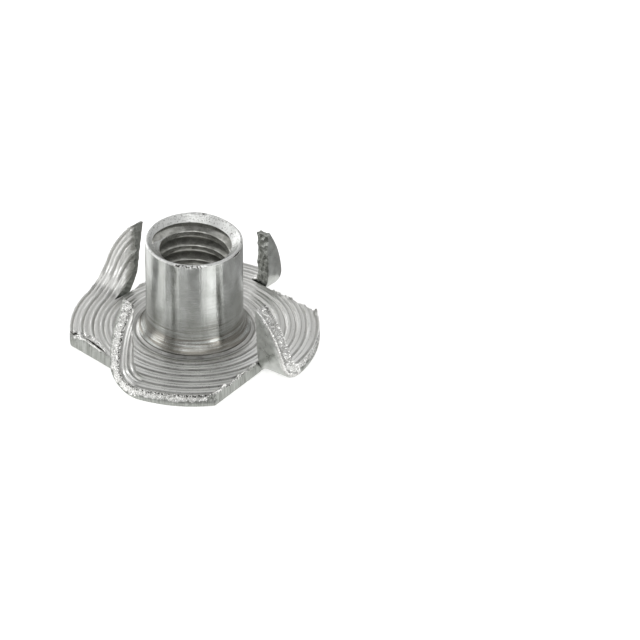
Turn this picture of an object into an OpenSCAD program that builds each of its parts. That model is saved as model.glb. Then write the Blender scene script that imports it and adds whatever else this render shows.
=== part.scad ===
// Four-prong tee nut, turned and pressed from one piece of stainless steel.
// The origin is on the axis, at the flat outer face of the flange, and the barrel rises along +Z.
// The upper face of the flange keeps its turned rings. Each prong is sheared free along a straight cut
// and folded up beside the barrel, so the rings run on up its inner face.

/* [Flange] */
// Diameter of the round flange
flange_d = 19.05; // [18:0.05:22]
// Thickness of the flange
flange_t = 1.2; // [1:0.05:1.4]
// Radius that rounds the lower edge of the rim
rim_round = 0.35; // [0.1:0.05:0.5]
// Radius of the first turned groove out from the foot
first_groove_r = 5.32; // [5.2:0.01:5.5]
// Distance from one turned groove to the next
groove_pitch = 0.79; // [0.6:0.01:1]
// Width of a turned groove
groove_w = 0.24; // [0.15:0.01:0.35]
// Depth of a turned groove
groove_depth = 0.08; // [0.05:0.01:0.2]
// Width of the groove that runs round against the foot of the barrel
foot_groove_w = 0.5; // [0.3:0.01:0.6]
// Depth of that groove
foot_groove_depth = 0.12; // [0.05:0.01:0.2]

/* [Barrel] */
// Height from the flange's outer face to the mouth
overall_h = 9.1; // [7:0.1:14]
// Outside diameter of the barrel
barrel_d = 7.4; // [7.3:0.05:7.8]
// Radius of the hollow curve at the root of the barrel
root_r = 1.6; // [1.2:0.1:2.5]
// Diameter of the foot where that curve meets the flange
foot_d = 8.6; // [8.4:0.05:8.7]
// Height of the foot above the turned rings
foot_step = 0.12; // [0.05:0.01:0.2]
// Size of the soft outer edge at the mouth
mouth_edge = 0.1; // [0.05:0.01:0.15]

/* [Threaded hole] */
// Diameter of the hole inside the crests of the 1/4-20 thread
bore_d = 5.24; // [4.98:0.01:5.26]
// Diameter of the countersink at the mouth
mouth_d = 7; // [6.6:0.05:7.05]
// Diameter of the lead-in where it opens on the flange face
lead_in_d = 8; // [7.2:0.05:8.1]
// Size of the soft edge round the lead-in
lead_in_edge = 0.15; // [0.05:0.01:0.2]
// Diameter of the lead-in at its inner end
throat_d = 6.8; // [6.4:0.05:7]
// Depth of the steep part of the lead-in
lead_in_h = 1.25; // [1:0.05:1.5]

/* [Prongs] */
// Direction from the axis to the tip of the first prong before it is folded, in degrees
first_cut = 10; // [0:1:90]
// How far each shear cut has strayed from its even quarter, in degrees
cut_drift = [1.2, -4.2, -2.6, 0]; // [-5:0.1:5]
// Turn from the end of each cut on the rim to its fold line, in degrees
fold_turn = [35.5, 42.5, 36, 42.5]; // [34:0.5:44]
// Distance by which each bend starts ahead of the radius along its fold line
fold_setback = [1.55, 2, 3, 0.7]; // [0.6:0.05:3.2]
// Inside radius of each bend
bend_r = [0.8, 2.3, 1.25, 1]; // [0.6:0.05:2.4]
// Angle that each prong is folded through, in degrees
fold_angle = [91, 80.5, 89, 86.5]; // [78:0.5:95]
// Share of its flat length that a prong keeps after shearing and folding
prong_draw = 0.9; // [0.8:0.01:1]
// Gap between the inner edge of a prong and the cut that freed it
shear_gap = 0.1; // [0.06:0.01:0.2]
// Width of the blunt end of a prong
tip_w = 0.16; // [0.12:0.01:0.3]
// Length missing from the point of each prong
point_lost = [0.45, 0, 0, 0]; // [0:0.05:0.6]
// Radius that the shear drew onto the ringed edge of each prong along its cut
prong_roll = [0.25, 0.6, 0.45, 0.3]; // [0.1:0.05:0.6]
// Radius that it drew onto the lower edge of the flange along each cut
flange_roll = 0.3; // [0.1:0.05:0.4]

/* [Hidden] */

flange_r = flange_d / 2;
barrel_r = barrel_d / 2;
bore_r = bore_d / 2;
mouth_r = mouth_d / 2;
throat_r = throat_d / 2;
lead_in_r = lead_in_d / 2;
foot_r = foot_d / 2;
foot_z = flange_t + foot_step;

// The hollow curve turns from upright until it has come out to the foot.
root_turn = acos(1 - (foot_r - barrel_r) / root_r);
root_z = foot_z + root_r * sin(root_turn);

groove_count = floor((flange_r - groove_w - first_groove_r) / groove_pitch) + 1;
prong_count = len(cut_drift);
quarter_turn = 360 / prong_count;

turned_facets = 96;   // sides of the turned surfaces
arc_steps = 4;        // straight steps along a small rounded edge
roll_steps = 3;       // straight steps along the edge that the shear rounded
root_steps = 6;       // straight steps along the curve at the root
bend_steps = 10;      // rows of facets round a bend
blade_steps = 14;     // rows of facets up the straight part of a prong
mark_gap = 0.01;      // distance between two columns of facets that have run up against an edge
roll_share = 0.4;     // largest share of a prong's width that the rounded edge takes up
least_roll = 0.05;    // radius of that edge at the inner end of the cut
roll_growth = 0.3;    // growth of that radius along the cut
root_grip = 0.3;      // length of prong that is buried in the flange
skin = 0.02;          // depth of the prong's root under the flange's skin
cut_reach = 12;       // length of the block that clears the blank beside a prong
overcut = 1;          // distance by which that block passes both faces of the flange

// Depth of the turned grooves at the distance r from the axis.
function groove_at(r) =
    let (turn = round((r - first_groove_r) / groove_pitch),
         index = min(max(turn, 0), groove_count - 1),
         offset = abs(r - first_groove_r - index * groove_pitch))
    groove_depth * max(0, 1 - 2 * offset / groove_w);

// Rounded lower edge of an upright wall at the distance r, from the wall round to the level base.
function lower_edge(r, size, base) = [
    for (i = [0 : arc_steps])
        let (turn = 90 * i / arc_steps)
        [r - size * (1 - cos(turn)), base + size * (1 - sin(turn))]
];

// Half section of everything that is turned, as [distance from the axis, height].
turned_section = concat(
    [
        [bore_r, overall_h - (mouth_r - bore_r)],
        [bore_r, lead_in_h + throat_r - bore_r],
        [throat_r, lead_in_h],
        [lead_in_r - lead_in_edge / 2, lead_in_edge],
        [lead_in_r, 0]
    ],
    [for (i = [arc_steps : -1 : 0]) lower_edge(flange_r, rim_round, 0)[i]],
    [[flange_r, flange_t]],
    [
        for (i = [groove_count - 1 : -1 : 0])
            for (side = [1, 0, -1])
                [
                    first_groove_r + i * groove_pitch + side * groove_w / 2,
                    flange_t - groove_depth * (1 - abs(side))
                ]
    ],
    [
        [foot_r + foot_groove_w, flange_t],
        [foot_r + foot_groove_w / 2, flange_t - foot_groove_depth],
        [foot_r, flange_t]
    ],
    [
        for (i = [root_steps : -1 : 0])
            let (turn = root_turn * i / root_steps)
            [barrel_r + root_r * (1 - cos(turn)), root_z - root_r * sin(turn)]
    ],
    [
        [barrel_r, overall_h - mouth_edge],
        [barrel_r - mouth_edge, overall_h],
        [mouth_r, overall_h]
    ]
);

// Everything made on the lathe: bored barrel, flared root and ringed flange.
module turned_body() {
    rotate_extrude($fn = turned_facets) polygon(turned_section);
}

// Direction of the line that each prong folds about.
function fold_direction(k) = first_cut + k * quarter_turn + cut_drift[k] + fold_turn[k];

// Distance from the axis to the straight cut that frees each prong.
function cut_distance(k) = flange_r * cos(fold_turn[k]);

// Block that clears the sheared blank away, from the cut outward and from the bend onward. It undercuts
// the flange along its lower edge, which the shear drew round.
module shear_notch(k) {
    wall = cut_distance(k) - shear_gap;
    rotate(fold_direction(k))
        translate([0, fold_setback[k], 0])
            rotate([90, 0, 0])
                linear_extrude(cut_reach)
                    polygon(concat(
                        [
                            [wall + cut_reach, -overcut],
                            [wall + cut_reach, flange_t + overcut],
                            [wall, flange_t + overcut]
                        ],
                        lower_edge(wall, flange_roll, 0),
                        [[wall - flange_roll, -overcut]]
                    ));
}

// Position in the folded prong of a point of the flat blank: a is measured out along the fold line,
// b across it towards the tip, and z up through the thickness.
function folded(k, a, b, z) =
    let (start = -fold_setback[k],
         pivot_z = flange_t + bend_r[k],
         neutral_r = bend_r[k] + flange_t / 2,
         past = max(b - start, 0),
         turn = min(past / neutral_r * 180 / PI, fold_angle[k]),
         straight = prong_draw * max(past - neutral_r * fold_angle[k] * PI / 180, 0),
         lever = pivot_z - z)
    [
        a,
        -min(b, start) - lever * sin(turn) - straight * cos(turn),
        pivot_z - lever * cos(turn) + straight * sin(turn)
    ];

// Distances from the axis of the groove edges and floors that cross one prong.
function ring_marks(k) = [
    for (i = [0 : groove_count - 1])
        let (r = first_groove_r + i * groove_pitch)
        if (r + groove_w / 2 > cut_distance(k))
            each [r - groove_w / 2, r, r + groove_w / 2]
];

// Outline of the flat blank across one prong, at the distance b from the fold line. It starts up the
// edge that the shear rounded, less at the inner end of the cut than further along it. Its next points
// follow the grooves, and those of a groove that has run off onto that edge are gathered beside it.
function blank_section(k, b) =
    let (inner = cut_distance(k),
         outer = sqrt(pow(flange_r - skin, 2) - b * b),
         width = outer - inner,
         begun = least_roll + roll_growth * max(b + fold_setback[k], 0),
         roll = min(prong_roll[k], width * roll_share, begun),
         marks = ring_marks(k),
         gap = min(mark_gap, width * (1 - roll_share) / (len(marks) + 2)),
         spread = [
             for (i = [0 : len(marks) - 1])
                 max(inner + roll + (i + 1) * gap, sqrt(max(marks[i] * marks[i] - b * b, 0)))
         ])
    concat(
        [
            for (i = [0 : roll_steps])
                let (turn = 90 * i / roll_steps,
                     a = inner + roll * (1 - cos(turn)))
                [a, flange_t - skin - roll * (1 - sin(turn)) - groove_at(norm([a, b]))]
        ],
        [
            for (a = concat(spread, [outer]))
                [a, flange_t - skin - groove_at(norm([a, b]))]
        ],
        lower_edge(outer, min(rim_round, width / 2), skin),
        [[inner, skin]]
    );

// One prong: rows of the blank's outline, carried round the bend and up to the tip, and closed at
// each end by facets that meet in one point.
module prong(k) {
    start = -fold_setback[k];
    bend_length = (bend_r[k] + flange_t / 2) * fold_angle[k] * PI / 180;
    tip = sqrt(pow(flange_r - skin, 2) - pow(cut_distance(k) + tip_w, 2)) - point_lost[k];
    tip_middle = (cut_distance(k) + sqrt(pow(flange_r - skin, 2) - tip * tip)) / 2;
    rows = concat(
        [start - root_grip],
        [for (i = [0 : bend_steps]) start + bend_length * i / bend_steps],
        [
            for (i = [1 : blade_steps])
                start + bend_length + (tip - start - bend_length) * i / blade_steps
        ]
    );
    outline = [for (b = rows) blank_section(k, b)];
    per_row = len(outline[0]);
    last_row = len(rows) - 1;
    root_end = len(rows) * per_row;
    tip_end = root_end + 1;
    points = concat(
        [
            for (row = [0 : last_row])
                for (p = outline[row])
                    folded(k, p[0], rows[row], p[1])
        ],
        [
            folded(k, flange_r - rim_round * 2, rows[0] - rim_round, flange_t / 2),
            folded(k, tip_middle, tip + tip_w / 2, flange_t / 2)
        ]
    );
    faces = [
        for (i = [0 : per_row - 1])
            let (next = (i + 1) % per_row,
                 top_row = last_row * per_row)
            each concat(
                [[next, i, root_end], [top_row + i, top_row + next, tip_end]],
                [
                    for (row = [0 : last_row - 1])
                        let (here = row * per_row,
                             above = here + per_row)
                        each [
                            [here + i, above + next, above + i],
                            [here + i, here + next, above + next]
                        ]
                ]
            )
    ];
    rotate(fold_direction(k))
        polyhedron(points = points, faces = faces, convexity = 6);
}

// The whole nut, in one piece.
module tee_nut() {
    color("silver") {
        difference() {
            turned_body();
            for (k = [0 : prong_count - 1]) shear_notch(k);
        }
        for (k = [0 : prong_count - 1]) prong(k);
    }
}

tee_nut();
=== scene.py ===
# %% [markdown]
# # A four-prong tee nut in stainless steel
# The real nut is one piece of metal. A lathe turns the barrel, the hole and the flange from bar, and leaves
# rings on the flange where the tool stepped outward. A press then shears four cuts into the flange and folds
# the freed metal up into prongs. This lesson follows the same road: turn a blank, tap it, cut it, fold it.
# A model made in the order of the real work gets its difficult places, such as rings that run round a bend,
# almost for nothing.

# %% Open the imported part
import math

import bmesh
import bpy
import numpy as np
from mathutils import Matrix, Vector, noise


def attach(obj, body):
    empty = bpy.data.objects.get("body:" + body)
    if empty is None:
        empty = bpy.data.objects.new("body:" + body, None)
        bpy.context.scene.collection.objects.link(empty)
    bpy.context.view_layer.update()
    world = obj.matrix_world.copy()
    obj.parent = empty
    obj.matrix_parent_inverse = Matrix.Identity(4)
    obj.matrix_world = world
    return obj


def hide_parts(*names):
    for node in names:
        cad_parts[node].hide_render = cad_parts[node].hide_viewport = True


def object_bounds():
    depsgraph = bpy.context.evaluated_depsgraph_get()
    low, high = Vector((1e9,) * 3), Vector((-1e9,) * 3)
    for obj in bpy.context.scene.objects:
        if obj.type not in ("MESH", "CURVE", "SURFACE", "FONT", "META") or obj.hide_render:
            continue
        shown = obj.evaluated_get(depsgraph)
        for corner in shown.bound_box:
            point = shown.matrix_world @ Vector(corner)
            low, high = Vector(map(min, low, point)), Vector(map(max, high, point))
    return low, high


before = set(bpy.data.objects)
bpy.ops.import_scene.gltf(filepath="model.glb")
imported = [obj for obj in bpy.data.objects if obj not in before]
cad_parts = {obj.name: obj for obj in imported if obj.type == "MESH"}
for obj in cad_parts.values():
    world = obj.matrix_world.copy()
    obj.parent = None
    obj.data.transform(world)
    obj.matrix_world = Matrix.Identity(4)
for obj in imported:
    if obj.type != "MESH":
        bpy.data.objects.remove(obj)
cad_low, cad_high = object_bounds()
print("node:", list(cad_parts), "size in mm:", [round(s * 1000, 3) for s in cad_high - cad_low])

# %% [markdown]
# ## Sizes
# The lesson works in millimetres, because the sizes are easy to read that way, and scales to metres at the
# end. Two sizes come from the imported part. The others are the sizes that its source states, so that every
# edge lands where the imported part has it. The lesson's own sizes are those with "worn" or "wear" in their
# names, and three that a finer mesh can show better: how much of a prong's point is lost, how large its
# rolled edge is, and how late its cut starts.

# %% Sizes of the turned blank
MM = 0.001
rim_r = (cad_high.x - cad_low.x) / 2 / MM
top_z = cad_high.z / MM
flange_t = 1.2
rim_round = 0.35
barrel_r = 3.7
root_r = 1.6
foot_r = 4.3
foot_z = flange_t + 0.12
bore_r = 2.62
mouth_r = 3.5
lead_in_r = 4.0
lead_in_edge = 0.15
throat_r = 3.4
lead_in_h = 1.25
print("rim radius", round(rim_r, 3), "height", round(top_z, 3))

# %% Sizes of the turned rings
first_groove_r = 5.32
groove_pitch = 0.79
groove_w = 0.24
groove_depth = 0.08
foot_groove_w = 0.5
foot_groove_depth = 0.12
groove_radii = [first_groove_r + groove_pitch * i for i in range(6)]
print("grooves at", [round(r, 2) for r in groove_radii])

# %% Sizes of the folded prongs
# One number for each prong, with the angles in degrees.
first_cut = 10.0
cut_drift = (1.2, -4.2, -2.6, 0.0)
fold_turn = (35.5, 42.5, 36.0, 42.5)
fold_setback = (1.55, 2.0, 3.0, 0.7)
bend_r = (0.8, 2.3, 1.25, 1.0)
fold_angle = (91.0, 80.5, 89.0, 86.5)
prong_draw = 0.9
shear_gap = 0.1
tip_w = 0.16
point_lost = (0.65, 0.0, 0.0, 0.0)
prong_roll = (0.3, 0.95, 0.45, 0.3)
flange_roll = 0.3
cut_late = (0.5, 0.8, 1.4, 0.8)
prongs = range(4)


def fold_direction(k):
    """Direction of the line that a prong folds about, in radians."""
    return math.radians(first_cut + 90 * k + cut_drift[k] + fold_turn[k])


def cut_distance(k):
    """Distance from the axis to the straight cut that frees a prong."""
    return rim_r * math.cos(math.radians(fold_turn[k]))


def cut_end(k):
    """Distance across the fold line of the inner end of a cut, a little past the start of the bend."""
    return cut_late[k] - fold_setback[k]


print("cuts at", [round(cut_distance(k), 2) for k in prongs])
print("starting at", [round(cut_end(k), 2) for k in prongs])

# %% [markdown]
# ## Turning the blank
# Anything made on a lathe is a profile spun round an axis. The profile is a closed loop of distances and
# heights. It could be spun by a Screw modifier, but then every part of it would get the same number of
# facets. Here each point of the profile is one ring of vertices, and a ring near the rim, which needs fine
# teeth later, gets more of them than a ring in the bore.

# %% Profile of the turned blank
COARSE, MEDIUM, FINE = 192, 384, 768


def span(start, end, steps):
    """Points from start towards end, without the end."""
    return [tuple(np.array(start) + (np.array(end) - np.array(start)) * i / steps) for i in range(steps)]


def arc(centre, radius, first, last, steps):
    """Points round a centre, with the angles in degrees, without the last point."""
    turns = [math.radians(first + (last - first) * i / steps) for i in range(steps)]
    return [(centre[0] + radius * math.cos(t), centre[1] + radius * math.sin(t)) for t in turns]


throat_top = lead_in_h + throat_r - bore_r
mouth_base = top_z - (mouth_r - bore_r)
profile = []
profile += [(p, COARSE) for p in span((bore_r, mouth_base), (bore_r, throat_top), 4)]
profile += [(p, COARSE) for p in span((bore_r, throat_top), (throat_r, lead_in_h), 6)]
lead_in_foot = (lead_in_r - lead_in_edge / 2, lead_in_edge)
profile += [(p, COARSE) for p in span((throat_r, lead_in_h), lead_in_foot, 6)]
profile += [(p, COARSE) for p in span(lead_in_foot, (lead_in_r + lead_in_edge, 0), 3)]
print(len(profile), "rings inside the hole")

# %% Profile of the flange
profile += [(p, MEDIUM) for p in span((lead_in_r + lead_in_edge, 0), (rim_r - rim_round, 0), 20)]
profile += [(p, FINE) for p in arc((rim_r - rim_round, rim_round), rim_round, -90, 0, 5)]
profile += [(p, FINE) for p in span((rim_r, rim_round), (rim_r, flange_t), 11)]
profile += [((rim_r, flange_t), FINE)]
print(len(profile), "rings up to the top of the rim")

# %% Height of the ringed face
foot_groove_worn = 0.1
foot_groove_r = foot_r + (foot_groove_w - foot_groove_worn) / 2
fine_line_depth = 0.03
fine_line_w = 0.16
land_crown = 0.015
crown_fade = 0.1


def dip(r, centre, width, depth):
    """Depth of a V-shaped groove at a distance from the axis."""
    return depth * max(0.0, 1 - 2 * abs(r - centre) / width)


def land_height(r):
    """Height of the ringed face: crowned lands between grooves, each with one fine line in its middle."""
    at_foot = dip(r, foot_groove_r, foot_groove_w - foot_groove_worn, foot_groove_depth)
    grooves = max(dip(r, g, groove_w, groove_depth) for g in groove_radii)
    lines = max(dip(r, g + groove_pitch / 2, fine_line_w, fine_line_depth) for g in groove_radii)
    crown = land_crown * math.cos(math.pi * (r - first_groove_r) / groove_pitch) ** 2
    return flange_t - crown * min(1, max(0, (r - foot_r) / crown_fade)) - max(at_foot, grooves, lines)


print("deepest groove:", round(flange_t - min(land_height(r) for r in groove_radii), 3), "mm")

# %% Rings across the ringed face
# One ring of vertices close inside each edge of the face, then some for every groove and every fine line.
marks = {rim_r - 0.1, foot_r + 0.02}
beside_line = 0.05
cut_rings = [(foot_groove_r, foot_groove_w - foot_groove_worn)] + [(g, groove_w) for g in groove_radii]
for centre, width in cut_rings:
    marks |= {centre + width * part for part in (-0.5, -0.25, 0, 0.25, 0.5)}
for g in groove_radii:
    line = g + groove_pitch / 2
    marks |= {line - fine_line_w / 2 - beside_line, line - fine_line_w / 2, line, line + fine_line_w / 2,
              line + fine_line_w / 2 + beside_line}
ring_marks = sorted((r for r in marks if foot_r < r < rim_r - 0.05), reverse=True)
profile += [((r, land_height(r)), MEDIUM) for r in ring_marks]
print(len(ring_marks), "rings across the turned face")

# %% Profile of the barrel
root_turn = math.degrees(math.acos(1 - (foot_r - barrel_r) / root_r))
root_centre = (barrel_r + root_r, foot_z + root_r * math.sin(math.radians(root_turn)))
profile += [((foot_r, flange_t), MEDIUM)]
profile += [(p, MEDIUM) for p in arc(root_centre, root_r, 180 + root_turn, 180, 12)]
worn_top = top_z - 0.7
lip_wear = 0.15
lip_turns = [math.radians(t) for t in (0, 18, 72, 90)]
profile += [(p, COARSE) for p in span((barrel_r, root_centre[1]), (barrel_r, worn_top), 20)]
profile += [(p, MEDIUM) for p in span((barrel_r, worn_top), (barrel_r, top_z - lip_wear), 10)]
profile += [((barrel_r - lip_wear * (1 - math.cos(t)), top_z - lip_wear * (1 - math.sin(t))), MEDIUM)
            for t in lip_turns]
profile += [(p, MEDIUM) for p in span((mouth_r, top_z), (bore_r, mouth_base), 9)]
print(len(profile), "rings in the whole profile")

# %% Spin the profile into a closed mesh
def spin(profile):
    """Vertices and triangles of a closed ring profile, where rings may differ in count by a factor of two."""
    points, starts = [], []
    for (r, z), count in profile:
        starts.append(len(points))
        points += [(r * math.cos(2 * math.pi * i / count), r * math.sin(2 * math.pi * i / count), z)
                   for i in range(count)]
    triangles = []
    for here in range(len(profile)):
        there = (here + 1) % len(profile)
        n, m = profile[here][1], profile[there][1]
        low, high = starts[here], starts[there]
        if n == m:
            for i in range(n):
                j = (i + 1) % n
                triangles += [(low + i, low + j, high + j), (low + i, high + j, high + i)]
            continue
        few, many, flip = (low, high, False) if n < m else (high, low, True)
        count = min(n, m)
        for i in range(count):
            j = (i + 1) % count
            a, b = few + i, few + j
            c, d, e = many + 2 * i, many + 2 * i + 1, many + (2 * i + 2) % (2 * count)
            for triangle in ((a, d, c), (a, b, d), (b, e, d)):
                triangles.append(triangle[::-1] if flip else triangle)
    return np.array(points), np.array(triangles)


blank_points, blank_triangles = spin(profile)
print(len(blank_points), "vertices,", len(blank_triangles), "triangles")

# %% [markdown]
# ## Torn edges before they are torn
# A shear cuts cleanly only part of the way through stainless steel. The rest breaks, and the broken band is a
# field of small bright facets. The disc was cut out the same way, so its rim has that band as well. The rim
# is pushed inward here by random upright teeth, deepest just under the top edge. It is never pushed outward,
# so the nut keeps its size.

# %% Coordinates along each fold
def along_fold(k, points):
    """Distance out along a prong's fold line, and distance across it towards the tip, of each point."""
    turn = fold_direction(k)
    out = points[:, 0] * math.cos(turn) + points[:, 1] * math.sin(turn)
    across = points[:, 0] * math.sin(turn) - points[:, 1] * math.cos(turn)
    return out, across


def in_prong(k, points):
    """True for the points of the flat blank that end up in a prong."""
    out, across = along_fold(k, points)
    return (out > cut_distance(k) - shear_gap / 2) & (across > -fold_setback[k])


def ramp(values, low, high):
    """0 below low, 1 above high, and straight between."""
    return np.clip((values - low) / (high - low), 0, 1)


def grain(points, size, seed=0):
    """Noise from -1 to 1 at each point, with one size in mm or a size for each axis."""
    spots = points / np.array(size) + np.array([17.3, 5.9, 11.7]) * (seed + 1)
    return np.array([noise.noise(spot) for spot in spots.tolist()])


print("folds face", [round(math.degrees(fold_direction(k)), 1) for k in prongs], "degrees")

# %% Round the rim less where a prong runs out to its tip
least_round = 0.03
touching = 0.001
for k in prongs:
    out, across = along_fold(k, blank_points)
    width = np.sqrt(np.maximum(rim_r ** 2 - across ** 2, 0)) - cut_distance(k)
    fit = np.clip(width / 2, least_round, rim_round)
    away = np.hypot(blank_points[:, 0], blank_points[:, 1])
    outer = in_prong(k, blank_points) & (away > rim_r - rim_round - touching) & (fit < rim_round)
    rounded = outer & (blank_points[:, 2] < rim_round)
    upright = outer & (blank_points[:, 2] >= rim_round) & (away > rim_r - touching)
    moved = rim_r - (rim_r - away) * fit / rim_round
    share = np.where(rounded, moved / away, 1)
    blank_points[:, :2] *= share[:, None]
    low_part = blank_points[:, 2] * fit / rim_round
    high_part = fit + (blank_points[:, 2] - rim_round) * (flange_t - fit) / (flange_t - rim_round)
    blank_points[:, 2] = np.where(rounded, low_part, np.where(upright, high_part, blank_points[:, 2]))
    print("prong", k, "has", int(outer.sum()), "rim vertices with a smaller rounding")

# %% Break the rim
dice = np.random.default_rng(7)
TOOTH_ROWS = 16
tooth_depth = 0.09
chip_depth = 0.07
clump_depth = 0.12
radius = np.hypot(blank_points[:, 0], blank_points[:, 1])
height = blank_points[:, 2]
on_rim = radius > rim_r - 0.02
folded_part = np.any([in_prong(k, blank_points) for k in prongs], axis=0)
turns = np.arctan2(blank_points[:, 1], blank_points[:, 0]) / (2 * math.pi)
column = np.round(turns * FINE).astype(int) % FINE
row = np.clip((height / flange_t * TOOTH_ROWS).astype(int), 0, TOOTH_ROWS - 1)
teeth = dice.random(FINE) ** 2 * tooth_depth
chips = dice.random((FINE, TOOTH_ROWS)) * chip_depth
clumps = np.abs(grain(blank_points, (0.5, 0.5, 1.2), 2)) * clump_depth
# The broken band begins lower on the prongs, and its teeth are shallower at the very top.
at_top_edge = ramp(height, 1.1, 1.19)
lobe_reach = ramp(height, 0.45, 0.8) * (1 - 0.6 * at_top_edge)
prong_reach = ramp(height, 0.3, 0.5) * (1 - 0.3 * at_top_edge)
reach = np.where(folded_part, prong_reach, lobe_reach)
inward = np.where(on_rim, (teeth[column] + chips[column, row] + clumps) * reach, 0)
blank_points[:, :2] *= (1 - inward / radius)[:, None]
print("deepest tooth:", round(inward.max(), 3), "mm")

# %% [markdown]
# ## The mouth as it came off the bar
# The mouth was parted from the bar and knocked about since. Its top is not quite level: it stands highest at
# the back left. The front edge has a row of chatter marks, and a nick has been knocked in at the right.

# %% Where the mouth is worn
# Directions and widths are in degrees round the axis, from the right and counter-clockwise seen from above.
mouth_sink = 0.2
highest_at = 112
chatter_at = -97
chatter_w = 14
nick_at = -28
nick_w = 8


def near(angle, centre, width):
    """Bell-shaped weight round a direction from the axis, in degrees."""
    off = (angle - centre + 180) % 360 - 180
    return np.exp(-(off / width) ** 2)


def sink_depth(points):
    """How far the worn mouth has sunk below its highest spot at each point."""
    turn = np.degrees(np.arctan2(points[:, 1], points[:, 0]))
    depth = mouth_sink - mouth_sink * np.minimum(1.5 * near(turn, highest_at, 52), 1)
    return depth * ramp(points[:, 2], top_z - 1.4, top_z - 0.3)


def lip_marks(points, below):
    """Depth, from 0 to 1, of the chatter marks and the nick at points a distance in mm below the lip."""
    turn = np.degrees(np.arctan2(points[:, 1], points[:, 0]))
    spots = np.column_stack([points[:, :2], np.zeros(len(points))])
    row = near(turn, chatter_at, chatter_w) * np.clip(3 * grain(spots, 0.13, 61) + 0.45, 0, 1)
    nick = near(turn, nick_at, nick_w) * np.exp(-((below - 0.2) / 0.08) ** 2)
    outside = ramp(np.hypot(points[:, 0], points[:, 1]), mouth_r, mouth_r + 0.1)
    return np.clip(row * np.exp(-((below - 0.1) / 0.1) ** 2) + nick, 0, 1) * outside


print("the mouth is highest at", highest_at, "degrees, and sinks by up to", mouth_sink, "mm")

# %% Wear at the mouth
mark_depth = 0.12
dent_depth = 0.07
# Where the cone is dented: the direction in degrees, the width and the strength of each place.
dented = ((84, 9, 1.0), (172, 12, 0.7), (30, 8, 0.5))
around = np.degrees(np.arctan2(blank_points[:, 1], blank_points[:, 0]))
inset = lip_marks(blank_points, top_z - height) * mark_depth
scuffed = sum(strength * near(around, turn, width) for turn, width, strength in dented)
on_cone = ramp(height, top_z - 0.9, top_z - 0.6) * (radius < mouth_r + 0.02)
dents = on_cone * scuffed * np.abs(grain(blank_points, 0.17, 63)) * dent_depth
blank_points[:, :2] *= (1 - inset / radius)[:, None]
sink = sink_depth(blank_points)
blank_points[:, 2] -= sink + dents
print("deepest mark", round(inset.max(), 3), "mm, deepest dent", round(dents.max(), 3), "mm")

# %% [markdown]
# ## The mesh becomes an object
# Blender needs real objects for its Boolean modifier. Each closed mesh is written by one small function, and
# the modifier is applied by reading back the evaluated mesh. The Manifold solver is quick and wants closed
# meshes, which is one more reason to build every piece as a solid.

# %% Objects from points and faces
def make_object(name, points, faces):
    """Object in the scene whose mesh has the given points and faces."""
    mesh = bpy.data.meshes.new(name)
    mesh.from_pydata(np.asarray(points).tolist(), [], [tuple(map(int, face)) for face in faces])
    mesh.validate()
    made = bpy.data.objects.new(name, mesh)
    bpy.context.scene.collection.objects.link(made)
    return made


def subtract(body, cutters):
    """Cuts other closed objects out of a body, and removes them."""
    for cutter in cutters:
        step = body.modifiers.new("cut", "BOOLEAN")
        step.operation = "DIFFERENCE"
        step.solver = "MANIFOLD"
        step.object = cutter
    bpy.context.view_layer.update()
    result = bpy.data.meshes.new_from_object(body.evaluated_get(bpy.context.evaluated_depsgraph_get()))
    body.modifiers.clear()
    body.data = result
    for cutter in cutters:
        bpy.data.objects.remove(cutter)


nut = make_object("nut", blank_points, blank_triangles)
print("blank:", len(nut.data.polygons), "faces")

# %% [markdown]
# ## Tapping the thread
# The hole has a 1/4-20 thread: 20 turns to the inch, so 1.27 mm from crest to crest, with flanks at 60
# degrees. It is left to this script because its ridges are fine. A helix of the groove's own section is cut
# out of the bore, as the tap does.

# %% Helical cutter
thread_pitch = 25.4 / 20
thread_outer_r = 6.35 / 2
root_flat = thread_pitch / 8
thread_start_z = 1.25
thread_end_z = 9.6
thread_phase = 230.0
steps_per_turn = 120
half_flank_angle = 30
# A crest is rounded: at each height above the bore, in mm, the groove is wider by the second number.
crest_round = ((0.09, 0.0), (0.055, 0.006), (0.028, 0.016), (0.01, 0.031), (-0.005, 0.055), (-0.12, 0.075))


def thread_cutter():
    """Closed helix whose section is the gap between two crests, flared where the crests are rounded."""
    half_section = [(thread_outer_r, root_flat / 2)]
    for above_bore, flare in crest_round:
        r = bore_r + above_bore
        half = root_flat / 2 + (thread_outer_r - r) * math.tan(math.radians(half_flank_angle)) + flare
        half_section.append((r, half))
    section = [(r, -half) for r, half in reversed(half_section)] + half_section
    turns = (thread_end_z - thread_start_z) / thread_pitch
    stations = round(turns * steps_per_turn)
    points, faces = [], []
    for i in range(stations + 1):
        turn = math.radians(thread_phase) + 2 * math.pi * i / steps_per_turn
        rise = thread_start_z + thread_pitch * i / steps_per_turn
        points += [(r * math.cos(turn), r * math.sin(turn), rise + offset) for r, offset in section]
    n = len(section)
    for i in range(stations):
        for j in range(n):
            here, beside = i * n + j, i * n + (j + 1) % n
            faces.append((here, here + n, beside + n, beside))
    faces.append(tuple(range(n)))
    faces.append(tuple(stations * n + j for j in reversed(range(n))))
    return make_object("thread_cutter", points, faces)


subtract(nut, [thread_cutter()])
print("tapped:", len(nut.data.polygons), "faces")

# %% [markdown]
# ## Shearing the four cuts
# Each cut runs straight from its inner end out through the rim. The tool that takes it away is a thin prism
# with dense, rough walls, so the walls that it leaves are rough too. The real punch came up from below and
# dragged the lower skin of the flange into the cut, so that edge is round. The prong on the other side of the
# cut is rounded on its upper edge instead, in a later step.

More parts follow.
